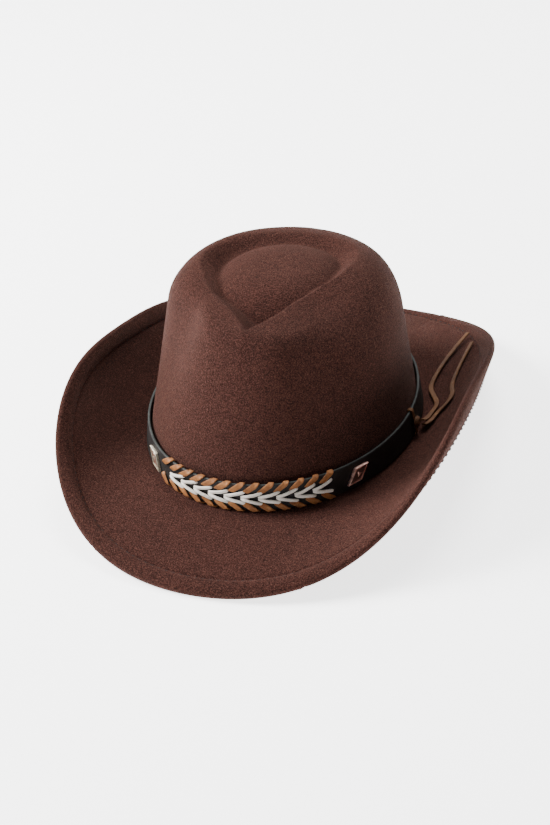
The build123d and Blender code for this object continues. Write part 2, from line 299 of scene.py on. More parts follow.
def grid(target: bmesh.types.BMesh, across: int, along: int,
         place: Callable[[float, float], Sequence[float]]) -> list[bmesh.types.BMVert]:
    """Add a grid and move each of its points.

    Args:
        target: the mesh that the grid joins.
        across: number of faces in u.
        along: number of faces in v.
        place: gives a point in millimetres from u and v, each 0 to 1.

    Returns:
        The grid's vertices.
    """
    made = bmesh.ops.create_grid(target, x_segments=across, y_segments=along, size=0.5)["verts"]
    for vert in made:
        vert.co = Vector(place(vert.co.x + 0.5, vert.co.y + 0.5))
    return made


def tube(target: bmesh.types.BMesh, path: Sequence[Vector], normals: Sequence[Vector],
         half_width: Callable[[float], float], half_thick: Callable[[float], float],
         sides: int = 10, square: float = 0.55) -> None:
    """Add a closed strip with rounded edges along a path.

    Args:
        target: the mesh that the strip joins.
        path: points along its middle, in millimetres.
        normals: direction of the strip's flat face at each point.
        half_width: half width at a share of the way along.
        half_thick: half thickness at a share of the way along.
        sides: number of faces round it.
        square: 1 for an ellipse, and less for a squarer section.
    """
    count = len(path) - 1
    tangents = [(path[min(i + 1, count)] - path[max(i - 1, 0)]).normalized() for i in range(count + 1)]

    def place(u: float, v: float) -> Vector:
        i = round(u * count)
        turn = 2 * math.pi * v
        side = tangents[i].cross(normals[i]).normalized()
        lift = side.cross(tangents[i]).normalized()
        c, s = math.cos(turn), math.sin(turn)
        x = math.copysign(abs(c) ** square, c) * half_width(u)
        y = math.copysign(abs(s) ** square, s) * half_thick(u)
        return path[i] + side * x + lift * y

    verts = grid(target, count, sides, place)
    bmesh.ops.remove_doubles(target, verts=verts, dist=1e-4)
    open_edges = [e for e in target.edges if e.is_boundary]
    if open_edges:
        bmesh.ops.holes_fill(target, edges=open_edges, sides=sides + 2)


def rounded(share: float, tip: float = 0.12) -> float:
    """Swell from nothing to full size near each end of a strip."""
    near = min(share, 1 - share) / tip
    return math.sqrt(max(0.02, 1 - (1 - min(1.0, near)) ** 2))


def dashes(target: bmesh.types.BMesh, places: Iterable[Matrix], length: float, radius: float) -> None:
    """Add one small rounded stitch at each frame, along its local x."""
    for place in places:
        verts = bmesh.ops.create_uvsphere(target, u_segments=6, v_segments=6, radius=1.0)["verts"]
        shape = Matrix.Diagonal((length / 2, radius, radius * 0.8, 1)) @ Matrix.Rotation(math.pi / 2, 4, "Y")
        bmesh.ops.transform(target, matrix=place @ shape, verts=verts)


# ---- shader helpers -----------------------------------------------------------------------
class Value:
    """A shader socket that takes part in arithmetic."""

    def __init__(self, shader: "Shader", socket: bpy.types.NodeSocket) -> None:
        """Keep the socket and the shader it belongs to."""
        self.shader = shader
        self.socket = socket

    def _math(self, operation: str, first: object, second: object) -> "Value":
        """Add a Math node."""
        node = self.shader.node("ShaderNodeMath", {"operation": operation}, {0: first, 1: second})
        return Value(self.shader, node.outputs[0])

    def __add__(self, other: object) -> "Value":
        """Sum."""
        return self._math("ADD", self, other)

    def __radd__(self, other: object) -> "Value":
        """Reflected sum."""
        return self._math("ADD", other, self)

    def __sub__(self, other: object) -> "Value":
        """Difference."""
        return self._math("SUBTRACT", self, other)

    def __rsub__(self, other: object) -> "Value":
        """Reflected difference."""
        return self._math("SUBTRACT", other, self)

    def __mul__(self, other: object) -> "Value":
        """Product."""
        return self._math("MULTIPLY", self, other)

    def __rmul__(self, other: object) -> "Value":
        """Reflected product."""
        return self._math("MULTIPLY", other, self)


class Shader:
    """A material with a Principled shader and short calls for its nodes."""

    def __init__(self, name: str) -> None:
        """Make the material and its Object coordinates."""
        self.material = bpy.data.materials.new(name)
        self.material.use_nodes = True
        self.tree = self.material.node_tree
        self.principled = self.tree.nodes["Principled BSDF"]
        coordinates = self.tree.nodes.new("ShaderNodeTexCoord")
        self.place = coordinates.outputs["Object"]

    def node(self, kind: str, settings: dict | None = None, inputs: dict | None = None) -> bpy.types.Node:
        """Add a node.

        Args:
            kind: the node's type.
            settings: attributes to set; "stops" fills a colour ramp.
            inputs: sockets by name or number, to values or links.

        Returns:
            The node.
        """
        made = self.tree.nodes.new(kind)
        for key, value in (settings or {}).items():
            if key == "stops":
                ramp = made.color_ramp
                while len(ramp.elements) < len(value):
                    ramp.elements.new(0.5)
                for element, (position, colour) in zip(ramp.elements, value):
                    element.position = position
                    element.color = colour
            else:
                setattr(made, key, value)
        for key, value in (inputs or {}).items():
            self.feed(made.inputs[key], value)
        return made

    def feed(self, socket: bpy.types.NodeSocket, value: object) -> None:
        """Link or set one socket."""
        if isinstance(value, Value):
            self.tree.links.new(value.socket, socket)
        elif isinstance(value, bpy.types.NodeSocket):
            self.tree.links.new(value, socket)
        else:
            socket.default_value = value

    def noise(self, scale: float, detail: float = 4.0, rough: float = 0.6, place: object = None,
              distortion: float = 0.0) -> Value:
        """Noise of a given scale per metre, 0 to 1."""
        made = self.node("ShaderNodeTexNoise", None,
                         {"Vector": place or self.place, "Scale": scale, "Detail": detail,
                          "Roughness": rough, "Distortion": distortion})
        return Value(self, made.outputs["Fac"])

    def stretched(self, scale: tuple[float, float, float]) -> bpy.types.NodeSocket:
        """Object coordinates scaled along each axis."""
        made = self.node("ShaderNodeMapping", None, {"Vector": self.place, "Scale": scale})
        return made.outputs["Vector"]

    def ramp(self, value: Value, low: float, high: float) -> Value:
        """Value spread smoothly so that low becomes 0 and high becomes 1."""
        made = self.node("ShaderNodeMapRange", {"interpolation_type": "SMOOTHSTEP"},
                         {"Value": value, "From Min": low, "From Max": high})
        return Value(self, made.outputs["Result"])

    def mix(self, amount: Value, first: object, second: object) -> bpy.types.NodeSocket:
        """Blend two colours."""
        made = self.node("ShaderNodeMix", {"data_type": "RGBA"})
        for socket, value in ((made.inputs[0], amount), (made.inputs[6], first), (made.inputs[7], second)):
            self.feed(socket, value)
        return made.outputs[2]

    def bump(self, layers: Sequence[tuple[Value, float]]) -> None:
        """Stack bump layers, each a height and a distance in metres, on the Normal."""
        normal = None
        for height, distance in layers:
            inputs = {"Height": height, "Distance": distance, "Strength": 1.0}
            if normal is not None:
                inputs["Normal"] = normal
            normal = self.node("ShaderNodeBump", None, inputs).outputs["Normal"]
        self.feed(self.principled.inputs["Normal"], normal)

    def set(self, **values: object) -> None:
        """Set Principled sockets; underscores stand for spaces."""
        for key, value in values.items():
            self.feed(self.principled.inputs[key.replace("_", " ")], value)


Colour = tuple[float, float, float, float]


@dataclass(frozen=True)
class FeltFinish:
    """Brushed wool felt: a mottled brown with a soft nap."""

    deep: Colour = (0.015, 0.0047, 0.0035, 1)
    body: Colour = (0.051, 0.0176, 0.0128, 1)
    light: Colour = (0.145, 0.062, 0.046, 1)

    def build(self) -> bpy.types.Material:
        """Make the material."""
        s = Shader("wool_felt")
        broad = s.noise(16, 3, 0.5)
        cloud = s.noise(120, 4, 0.6)
        speck = s.noise(1250, 3, 0.7)
        fibre = s.noise(2200, 3, 0.65, s.stretched((1.0, 0.5, 1.0)), 0.8)
        tone = s.ramp(speck * 0.84 + cloud * 0.1 + broad * 0.06, 0.41, 0.59)
        base = s.mix(tone, self.deep, self.body)
        hairs = s.ramp(fibre * 0.65 + speck * 0.35, 0.50, 0.64)
        colour = s.mix(hairs * 0.6, base, self.light)
        s.set(Base_Color=colour, Roughness=s.ramp(speck, 0.2, 0.8) * 0.1 + 0.88)
        s.set(Sheen_Weight=0.16, Sheen_Roughness=0.4, Sheen_Tint=(0.60, 0.34, 0.27, 1),
              Specular_IOR_Level=0.08)
        s.bump([(cloud, 0.0004), (speck, 0.0006), (fibre, 0.0004)])
        return s.material


@dataclass(frozen=True)
class LeatherFinish:
    """Smooth or suede leather with a fine pebble grain and rubbed high spots."""

    name: str
    dark: Colour
    body: Colour
    worn: Colour
    roughness: float = 0.5
    grain: float = 900.0
    depth: float = 0.00022
    coat: float = 0.0
    shine: float = 0.3

    def build(self) -> bpy.types.Material:
        """Make the material."""
        s = Shader(self.name)
        cells = s.node("ShaderNodeTexVoronoi", {"feature": "SMOOTH_F1"}, {"Vector": s.place, "Scale": self.grain})
        pebble = Value(s, cells.outputs["Distance"])
        fine = s.noise(self.grain * 2.3, 4, 0.6)
        patch = s.noise(90, 4, 0.6)
        streak = s.noise(260, 5, 0.7, None, 0.8)
        base = s.mix(s.ramp(patch * 0.5 + fine * 0.5, 0.35, 0.65), self.dark, self.body)
        rubbed = s.ramp(streak, 0.55, 0.78)
        s.set(Base_Color=s.mix(rubbed * 0.6, base, self.worn))
        s.set(Roughness=s.ramp(fine, 0.2, 0.8) * 0.2 + (self.roughness - 0.1), Specular_IOR_Level=self.shine,
              Coat_Weight=self.coat, Coat_Roughness=0.35)
        s.bump([(pebble, self.depth), (fine, self.depth * 0.6), (streak, self.depth * 0.5)])
        return s.material


@dataclass(frozen=True)
class ThreadFinish:
    """Twisted sewing thread."""

    name: str
    dark: Colour
    light: Colour

    def build(self) -> bpy.types.Material:
        """Make the material."""
        s = Shader(self.name)
        ply = s.node("ShaderNodeTexWave", {"bands_direction": "DIAGONAL"},
                     {"Vector": s.place, "Scale": 900.0, "Distortion": 2.0, "Detail": 2.0})
        twist = Value(s, ply.outputs["Fac"])
        fuzz = s.noise(2600, 3, 0.7)
        s.set(Base_Color=s.mix(s.ramp(twist * 0.6 + fuzz * 0.4, 0.3, 0.7), self.dark, self.light))
        s.set(Roughness=fuzz * 0.2 + 0.65, Specular_IOR_Level=0.3)
        s.bump([(twist, 0.0002), (fuzz, 0.0001)])
        return s.material


@dataclass(frozen=True)
class MetalFinish:
    """Plated metal with tarnish and fine scratches."""

    name: str
    bright: Colour
    tarnish: Colour
    roughness: float = 0.28

    def build(self) -> bpy.types.Material:
        """Make the material."""
        s = Shader(self.name)
        stain = s.noise(420, 5, 0.65)
        pits = s.noise(2400, 3, 0.6)
        lines = s.noise(1800, 2, 0.5, s.stretched((0.15, 0.15, 1.0)))
        s.set(Base_Color=s.mix(s.ramp(stain * 0.7 + pits * 0.3, 0.45, 0.66), self.bright, self.tarnish))
        s.set(Metallic=1.0, Roughness=s.ramp(stain, 0.3, 0.7) * 0.25 + self.roughness)
        s.bump([(pits, 0.00008), (lines, 0.00006)])
        return s.material


@dataclass
class Finishes:
    """Every finish of the hat, made once."""

    felt: bpy.types.Material = field(default_factory=lambda: FeltFinish().build())
    thread: bpy.types.Material = field(default_factory=lambda: ThreadFinish(
        "dark_thread", (0.006, 0.003, 0.0026, 1), (0.022, 0.011, 0.009, 1)).build())
    sweat: bpy.types.Material = field(default_factory=lambda: LeatherFinish(
        "sweatband_leather", (0.05, 0.026, 0.016, 1), (0.10, 0.055, 0.034, 1), (0.16, 0.095, 0.06, 1), 0.5).build())
    strap: bpy.types.Material = field(default_factory=lambda: LeatherFinish(
        "strap_leather", (0.006, 0.0045, 0.004, 1), (0.013, 0.010, 0.009, 1), (0.04, 0.028, 0.022, 1),
        0.62, 1100, 0.00014, 0.0).build())
    strap_edge: bpy.types.Material = field(default_factory=lambda: LeatherFinish(
        "strap_cut_edge", (0.014, 0.016, 0.014, 1), (0.040, 0.046, 0.042, 1), (0.10, 0.11, 0.10, 1), 0.6).build())
    tan: bpy.types.Material = field(default_factory=lambda: LeatherFinish(
        "tan_lace_leather", (0.15, 0.052, 0.015, 1), (0.34, 0.135, 0.042, 1), (0.52, 0.26, 0.10, 1), 0.6, 1300).build())
    white: bpy.types.Material = field(default_factory=lambda: LeatherFinish(
        "white_lace_leather", (0.56, 0.50, 0.44, 1), (0.86, 0.80, 0.73, 1), (0.95, 0.92, 0.87, 1), 0.6, 1300).build())
    lace: bpy.types.Material = field(default_factory=lambda: LeatherFinish(
        "tie_lace_leather", (0.060, 0.022, 0.007, 1), (0.135, 0.055, 0.018, 1), (0.34, 0.165, 0.06, 1), 0.7, 1300).build())
    silver: bpy.types.Material = field(default_factory=lambda: MetalFinish(
        "worn_silver_plate", (0.80, 0.72, 0.58, 1), (0.30, 0.24, 0.18, 1)).build())
    copper: bpy.types.Material = field(default_factory=lambda: MetalFinish(
        "worn_copper_plate", (0.80, 0.50, 0.42, 1), (0.40, 0.24, 0.20, 1)).build())
    # the concho's middle field: a dark brown painted shade standing in for the stud's unlit pyramid facets
    painted_shade_field: bpy.types.Material = field(default_factory=lambda: LeatherFinish(
        "concho_painted_shade_field", (0.05, 0.022, 0.015, 1), (0.14, 0.065, 0.045, 1), (0.34, 0.20, 0.15, 1), 0.35).build())
    nickel: bpy.types.Material = field(default_factory=lambda: MetalFinish(
        "plain_nickel", (0.62, 0.60, 0.56, 1), (0.35, 0.33, 0.30, 1)).build())


# ---- sub-assemblies -----------------------------------------------------------------------
@dataclass
class Crown:
    """The creased felt crown, cast from a sphere onto its surface."""

    finishes: Finishes
    around: int = 300
    rings: int = 200
    eye: tuple = (0.0, 8.0, 45.0)

    def build(self) -> None:
        """Build the shell and hide its CAD node."""
        shell = bmesh.new()
        bmesh.ops.create_uvsphere(shell, u_segments=self.around, v_segments=self.rings, radius=1.0)
        directions = np.array([v.co.normalized()[:] for v in shell.verts])
        points = self.cast(directions)
        for vert, point in zip(shell.verts, points):
            vert.co = Vector(point)
        low = SHAPE.break_z + 0.05
        everything = list(shell.verts) + list(shell.edges) + list(shell.faces)
        bmesh.ops.bisect_plane(shell, geom=everything, plane_co=(0, 0, low), plane_no=(0, 0, -1),
                               clear_outer=True)
        bmesh.ops.recalc_face_normals(shell, faces=shell.faces)
        bmesh.ops.solidify(shell, geom=list(shell.faces), thickness=SHAPE.felt)
        piece = new_piece("crown_felt", shell, BodyName.HAT, self.finishes.felt)
        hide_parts("crown")

    def cast(self, directions: np.ndarray) -> np.ndarray:
        """Points where rays from the middle of the crown leave it.

        Args:
            directions: unit vectors, one row each.

        Returns:
            Points in millimetres above the table.
        """
        origin = np.array(self.eye)

        def inside(reach: np.ndarray) -> np.ndarray:
            p = origin + directions * reach[:, None]
            return (SHAPE.crown_field(p[:, 0], p[:, 1], p[:, 2]) > 0) & (p[:, 2] > -8)

        found = np.zeros(len(directions))
        done = np.zeros(len(directions), bool)
        for step in np.arange(4.0, 170.0, 1.5):
            out = ~inside(np.full(len(directions), step)) & ~done
            found[out] = step
            done |= out
        low, high = found - 1.5, found.copy()
        for _ in range(14):
            middle = (low + high) / 2
            is_in = inside(middle)
            low = np.where(is_in, middle, low)
            high = np.where(is_in, high, middle)
        points = origin + directions * low[:, None]
        points[:, 2] += SHAPE.break_z
        return points


@dataclass
class Brim:
    """The curled felt brim with its folded hem and stitching."""

    finishes: Finishes
    around: int = 480
    stitches: int = 192
    inset: float = 8.2
    _profiles: dict = field(default_factory=dict)

    def profile(self, degrees: float) -> list[Vector]:
        """Closed section of the felt at an angle, from the break round the edge and back."""
        hem = 1 - SHAPE.hem_width / SHAPE.brim_length(degrees)
        angle = math.radians(degrees)
        inner = float(oval(angle, SHAPE.crown_side, SHAPE.crown_end)) - SHAPE.felt
        lip = SHAPE.hem_thick / 2
        flat = [Vector((inner * math.sin(angle), -inner * math.cos(angle), SHAPE.break_z))]
        bottom = [flat[0] - Vector((0, 0, SHAPE.felt))]
        top = [SHAPE.brim_at(degrees, t) for t in np.linspace(0, hem - 0.01, 30)]
        # the stitches draw the felt in a little, so the folded edge stands proud as a soft roll
        roll = [SHAPE.brim_at(degrees, hem + (1 - hem) * t, 1.25 * math.sin(math.pi * t) ** 0.7 - 0.5 * (t < 0.01))
                for t in np.linspace(0, 0.98, 10)]
        centre = SHAPE.brim_at(degrees, 1, -lip)
        up = (SHAPE.brim_at(degrees, 1) - centre) / lip
        ahead = (SHAPE.brim_at(degrees, 1.002, -lip) - centre).normalized()
        nose = [centre + up * lip * math.cos(a) + ahead * lip * math.sin(a)
                for a in np.linspace(0.1, math.pi - 0.1, 9)]
        under = [SHAPE.brim_at(degrees, 1 - (1 - hem) * t, -SHAPE.hem_thick - 0.2 * math.sin(math.pi * t))
                 for t in np.linspace(0.05, 0.93, 8)]
        wave = 0.5 * math.sin(degrees * 2.9) + 0.35 * math.sin(degrees * 7.3 + 1)
        raw = hem + wave / SHAPE.brim_length(degrees)
        step = [SHAPE.brim_at(degrees, raw, -4.6), SHAPE.brim_at(degrees, raw - 0.006, -3.7),
                SHAPE.brim_at(degrees, raw - 0.004, -SHAPE.felt - 0.05)]
        back = [SHAPE.brim_at(degrees, t, -SHAPE.felt) for t in np.linspace(hem - 0.03, 0, 24)]
        return flat + top + roll + nose + under + step + back + bottom

    def build(self) -> None:
        """Build the felt and both rows of stitches."""
        felt = bmesh.new()
        profiles = [self.profile(360 * i / self.around) for i in range(self.around)]
        count = len(profiles[0])

        def place(u: float, v: float) -> Vector:
            return profiles[round(u * self.around) % self.around][round(v * count) % count]

        verts = grid(felt, self.around, count, place)
        bmesh.ops.remove_doubles(felt, verts=verts, dist=1e-4)
        piece = new_piece("brim_felt", felt, BodyName.HAT, self.finishes.felt)
        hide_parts("brim")
        rows = bmesh.new()
        for offset, lean in ((0.0, 0.0), (-SHAPE.hem_thick - 0.25, 0.35)):
            dashes(rows, self.stitch_frames(offset, lean), 3.2, 0.6)
        stitches = new_piece("hem_stitches", rows, BodyName.HAT, self.finishes.thread)
        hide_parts("hem_stitching")

    def stitch_frames(self, offset: float, lean: float) -> list[Matrix]:
        """Frames evenly spaced along the hem's stitch line.

        Args:
            offset: distance off the upper face.
            lean: slant of each stitch in radians.

        Returns:
            Matrices whose local x follows the stitch line.
        """
        line = [SHAPE.brim_at(i / 2, 1 - self.inset / SHAPE.brim_length(i / 2), offset) for i in range(721)]
        marks = [0.0]
        for a, b in zip(line, line[1:]):
            marks.append(marks[-1] + (b - a).length)
        frames = []
        i = 0
        for k in range(self.stitches):
            target = marks[-1] * (k + 0.5) / self.stitches
            while marks[i + 1] < target:
                i += 1
            share = (target - marks[i]) / (marks[i + 1] - marks[i])
            point = line[i].lerp(line[i + 1], share)
            run = (line[i + 1] - line[i]).normalized()
            degrees = (i + share) / 2
            along = 1 - self.inset / SHAPE.brim_length(degrees)
            up = (SHAPE.brim_at(degrees, along, 1) - SHAPE.brim_at(degrees, along, 0)).normalized()
            side = up.cross(run).normalized()
            turn = Matrix((run, side, run.cross(side))).transposed().to_4x4()
            frames.append(Matrix.Translation(point) @ turn @ Matrix.Rotation(lean, 4, "Z"))
        return frames


@dataclass
class Sweatband:
    """Leather band inside the crown, with a row of stitches."""

    finishes: Finishes
    low: float = -2.6
    high: float = 28.0
    thick: float = 1.2
    draw: float = 7.4
    stitches: int = 120

    def half(self, height: float) -> tuple[float, float]:
        """Half sizes of the outer face at a height above the break."""
        gap = SHAPE.felt + 0.3 + self.draw * (height - self.low) / (self.high - self.low)
        return SHAPE.crown_side - gap, SHAPE.crown_end - gap

    def build(self) -> None:
        """Build the band and its stitching."""
        section = [(t, 0.0) for t in np.linspace(0.02, 0.98, 14)] + [(1.0, 0.3), (1.0, 0.7)]
        section += [(t, 1.0) for t in np.linspace(0.98, 0.02, 14)] + [(0.0, 0.7), (0.0, 0.3)]
        count = len(section)
        band = bmesh.new()

        def place(u: float, v: float) -> Vector:
            share, depth = section[round(v * count) % count]
            angle = 2 * math.pi * u
            height = self.low + (self.high - self.low) * share
            side, end = self.half(height)
            inward = self.thick * depth + 0.12 * math.sin(angle * 3 + share * 4)
            return Vector(((side - inward) * math.sin(angle), -(end - inward) * math.cos(angle),
                           SHAPE.break_z + height))

        verts = grid(band, 240, count, place)
        bmesh.ops.remove_doubles(band, verts=verts, dist=1e-4)
        piece = new_piece("sweatband_leather", band, BodyName.HAT, self.finishes.sweat)
        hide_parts("sweatband")
        row = bmesh.new()
        frames = []
        for k in range(self.stitches):
            angle = 2 * math.pi * k / self.stitches
            side, end = (h - self.thick - 0.1 for h in self.half(0.0))
            run = Vector((side * math.cos(angle), end * math.sin(angle), 0)).normalized()
            turn = Matrix((run, Vector((0, 0, 1)), run.cross(Vector((0, 0, 1))))).transposed().to_4x4()
            place_at = Vector((side * math.sin(angle), -end * math.cos(angle), SHAPE.break_z))
            frames.append(Matrix.Translation(place_at) @ turn @ Matrix.Rotation(0.5, 4, "Z"))
        dashes(row, frames, 3.0, 0.4)
        stitches = new_piece("sweatband_stitches", row, BodyName.HAT, self.finishes.thread)
        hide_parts("sweatband_stitching")


@dataclass
class Hatband:
    """Leather strap with laced edges, white chevrons, conchos and a tied lace."""

    finishes: Finishes
    turn: float = 5.5
    braid_half: float = 39.0
    loops: int = 13
    chevrons: int = 10
    concho_left: float = 54.0
    concho_right: float = -40.5
    chevron_first: float = -24.0
    chevron_step: float = 7.0
    tie_at: float = 91.0

    def build(self) -> None:
        """Build every piece of the band."""
        self.build_strap()
        self.build_loops(1, "top_edge_lacing")
        self.build_loops(-1, "bottom_edge_lacing")
        self.build_chevrons()
        self.build_concho("left", 1)
        self.build_concho("right", -1)
        self.build_tie()
        for node in ("concho_screw_left", "concho_screw_right"):
            dress(node, self.finishes.nickel)

    def build_strap(self) -> None:
        """Build the strap as one closed ring with rounded, lighter cut edges."""
        half = (SHAPE.band_high - SHAPE.band_low) / 2
        thick = SHAPE.band_thick
        section = [(y, 0.0) for y in np.linspace(-half + 0.5, half - 0.5, 12)]
        section += [(half - 0.12, -0.22), (half, -0.7), (half, -thick + 0.5), (half - 0.2, -thick + 0.1)]
        section += [(y, -thick) for y in np.linspace(half - 0.6, -half + 0.6, 6)]
        section += [(-half + 0.2, -thick + 0.1), (-half, -thick + 0.5), (-half, -0.7), (-half + 0.12, -0.22)]
        count = len(section)
        strap = bmesh.new()

        def place(u: float, v: float) -> Vector:
            y, z = section[round(v * count) % count]
            frame_here = SHAPE.band_frame(360 * u, SHAPE.middle)
            return frame_here @ Vector((0, y, z + 0.06 * math.sin(37 * u * math.pi) * (abs(y) / 9) ** 2))

        verts = grid(strap, 320, count, place)
        bmesh.ops.remove_doubles(strap, verts=verts, dist=1e-4)
        piece = new_piece("band_strap_leather", strap, BodyName.BAND, self.finishes.strap)
        piece.data.materials.append(self.finishes.strap_edge)
        slope = SHAPE.band_draw / (SHAPE.band_high - SHAPE.band_low)
        for face in piece.data.polygons:
            lift = abs(face.center.z / MM - SHAPE.break_z - SHAPE.middle)
            if lift > half - 0.35 and abs(face.normal.z) > 0.35 + slope:
                face.material_index = 1
        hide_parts("band_strap")

    def loop_angles(self) -> list[float]:
        """Angles at which lace turns sit."""
        return [self.turn + self.braid_half * (2 * (i + 0.5) / self.loops - 1) for i in range(self.loops)]

    def build_loops(self, side: int, node: str) -> None:
        """Build the slanted lace turns over one edge.

        Args:
            side: 1 for the top edge and -1 for the bottom edge.
            node: the CAD node they replace.
        """
        half = (SHAPE.band_high - SHAPE.band_low) / 2
        rng = random.Random(5 + side)
        turns = bmesh.new()
        for angle in self.loop_angles():
            lean = rng.uniform(-0.3, 0.3)
            stations = [(-5.2 + lean, half - 4.9, 0.15), (-4.1 + lean, half - 4.2, 0.7), (-2.5, half - 3.1, 0.95),
                        (-0.7, half - 1.8, 1.0), (1.0, half - 0.6, 0.95), (2.1, half + 0.12, 0.5),
                        (2.6, half + 0.45, -0.3), (2.7, half + 0.45, -1.3), (2.7, half + 0.05, -2.15),
                        (2.7, half - 1.2, -2.28), (2.7, half - 2.6, -2.25)]
            fine = smooth_line([Vector((x, y * side, z)) for x, y, z in stations], 3)
            path = [SHAPE.on_band(angle, p.x, p.y, p.z) for p in fine]
            normals = []
            for i, p in enumerate(fine):
                before, after = fine[max(i - 1, 0)], fine[min(i + 1, len(fine) - 1)]
                run = after - before
                out = Vector((0, -run.z * side * side, run.y)) * side
                face = SHAPE.band_frame(angle, SHAPE.middle).to_3x3() @ out.normalized()
                normals.append(face)
            width = 1.75 + rng.uniform(-0.1, 0.15)
            tube(turns, path, normals, lambda t, w=width: w * (0.72 + 0.28 * rounded(t, 0.25)),
                 lambda t: 0.42 * (0.5 + 0.5 * rounded(t, 0.1)), 12, 0.6)
        piece = new_piece(node + "_turns", turns, BodyName.BAND, self.finishes.tan)
        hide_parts(node)

    def build_chevrons(self) -> None:
        """Build the white laces as nested V shapes that point to the wearer's right."""
        rng = random.Random(11)
        laces = bmesh.new()
        for i in range(self.chevrons):
            angle = self.chevron_first + self.chevron_step * i
            for side in (1, -1):
                jitter = rng.uniform(-0.25, 0.25)
                # each arm dives under the next V at its tip and rises to the strap's edge
                points = [Vector((-6.4, 0.30 * side, 0.45)), Vector((-4.6, 0.85 * side, 1.3)),
                          Vector((-1.6, 1.60 * side, 1.65)), Vector((1.8, 2.45 * side + jitter, 1.4)),
                          Vector((4.8, 3.30 * side + jitter, 1.0)), Vector((6.8, 3.95 * side + jitter, 0.4))]
                fine = smooth_line(points, 4)
                path = [SHAPE.on_band(angle, p.x, p.y, p.z) for p in fine]
                out = SHAPE.band_frame(angle, SHAPE.middle).to_3x3() @ Vector((0, -0.15 * side, 1))
                tube(laces, path, [out.normalized()] * len(path),
                     lambda t: 1.08 * (0.5 + 0.5 * rounded(t, 0.25)),
                     lambda t: 0.62 * (0.55 + 0.45 * rounded(t, 0.2)), 12, 0.75)
        piece = new_piece("white_chevron_laces", laces, BodyName.BAND, self.finishes.white)
        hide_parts("chevron_lacing")

    def build_concho(self, name: str, side: int) -> None:
        """Build one diamond plate with a raised border, a middle field painted dark brown as shade of the unlit facets,
        and a folded facet.

        Args:
            name: left or right, from the wearer.
            side: 1 on the left and -1 on the right.
        """
        angle = self.concho_left if side == 1 else self.concho_right
        place = SHAPE.band_frame(angle, SHAPE.middle)
        lean = 3.4 * side
        plate = bmesh.new()
        verts = bmesh.ops.create_grid(plate, x_segments=1, y_segments=1, size=1.0)["verts"]
        for vert in verts:
            x, y = vert.co.x, vert.co.y
            vert.co = Vector((x * 5.2 + y * lean, y * 4.7, 0.15))
        wall = bmesh.ops.extrude_face_region(plate, geom=list(plate.faces))
        raised = [g for g in wall["geom"] if isinstance(g, bmesh.types.BMVert)]
        bmesh.ops.translate(plate, vec=(0, 0, 1.5), verts=raised)
        top = max(plate.faces, key=lambda f: f.calc_center_median().z)
        edges = list({e for v in raised for e in v.link_edges})
        bmesh.ops.inset_region(plate, faces=[top], thickness=0.35, depth=0.25)
        bmesh.ops.inset_region(plate, faces=[top], thickness=0.5, depth=0.05)
        bmesh.ops.inset_region(plate, faces=[top], thickness=0.3, depth=-0.65)
        bmesh.ops.inset_region(plate, faces=[top], thickness=0.35, depth=0.0)
        bmesh.ops.inset_region(plate, faces=[top], thickness=0.25, depth=0.4)
        # the innermost face, which gets the dark brown painted shade
        shaded_field_faces = [top]
        bmesh.ops.bevel(plate, geom=[e for e in edges if e.is_valid], offset=0.18, segments=2,
                        affect="EDGES", profile=0.5, material=-1)
        bmesh.ops.transform(plate, matrix=place, verts=plate.verts)
        centres = [f.calc_center_median() for f in shaded_field_faces if f.is_valid]
        metal = self.finishes.silver if side == -1 else self.finishes.copper
        piece = new_piece("concho_" + name + "_plate", plate, BodyName.BAND, metal,
                          smooth_faces=False)
        # the middle field takes the dark brown painted shade of the unlit facets
        piece.data.materials.append(self.finishes.painted_shade_field)
        for face in piece.data.polygons:
            if any((face.center / MM - c).length < 0.6 for c in centres):
                face.material_index = 1
        facet = bmesh.new()
        ring = bmesh.ops.create_cone(facet, cap_ends=True, segments=3, radius1=2.4, radius2=1.5, depth=0.5)
        spin = Matrix.Rotation(math.radians(30 if side == 1 else -30), 4, "Z")
        bmesh.ops.transform(facet, matrix=place @ Matrix.Translation((0.5 * side, 0.2, 1.8)) @ spin,
                            verts=ring["verts"])
        new_piece("concho_" + name + "_facet", facet, BodyName.BAND, metal,
                  smooth_faces=False)
        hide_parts("concho_" + name)

    def build_tie(self) -> None:
        """Build the lace's turn round the strap, its knot and its two loose tails."""
        half = (SHAPE.band_high - SHAPE.band_low) / 2
        loop = bmesh.new()
        stations = [(0, -half - 0.55, -1.4), (0, -half - 0.6, -0.4), (0.1, -half - 0.2, 0.6), (0.2, -half + 1.6, 0.85),
                    (0.3, -2.5, 0.95), (0.2, 0, 1.3), (-0.2, 2.5, 0.95), (-0.5, half - 1.6, 0.85),
                    (-0.6, half + 0.35, 0.6), (-0.6, half + 0.8, -0.4), (-0.6, half + 0.7, -1.4),
                    (-0.5, half - 0.6, -2.2), (-0.2, 0, -2.25), (0, -half + 0.6, -2.2)]
        closed = smooth_line([Vector(s) for s in stations + stations[:1]], 4)
        path = [SHAPE.on_band(self.tie_at, p.x, p.y, p.z) for p in closed]
        turn = SHAPE.band_frame(self.tie_at, SHAPE.middle).to_3x3()
        normals = []
        for i in range(len(closed)):
            run = closed[min(i + 1, len(closed) - 1)] - closed[max(i - 1, 0)]
            normals.append(turn @ Vector((0, -run.z, run.y)).normalized())
        tube(loop, path, normals, lambda t: 1.5, lambda t: 0.5, 12, 0.55)
        piece = new_piece("tie_lace_turn", loop, BodyName.BAND, self.finishes.lace)
        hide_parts("tie_loop")
        self.build_knot(turn)
        self.build_tails()

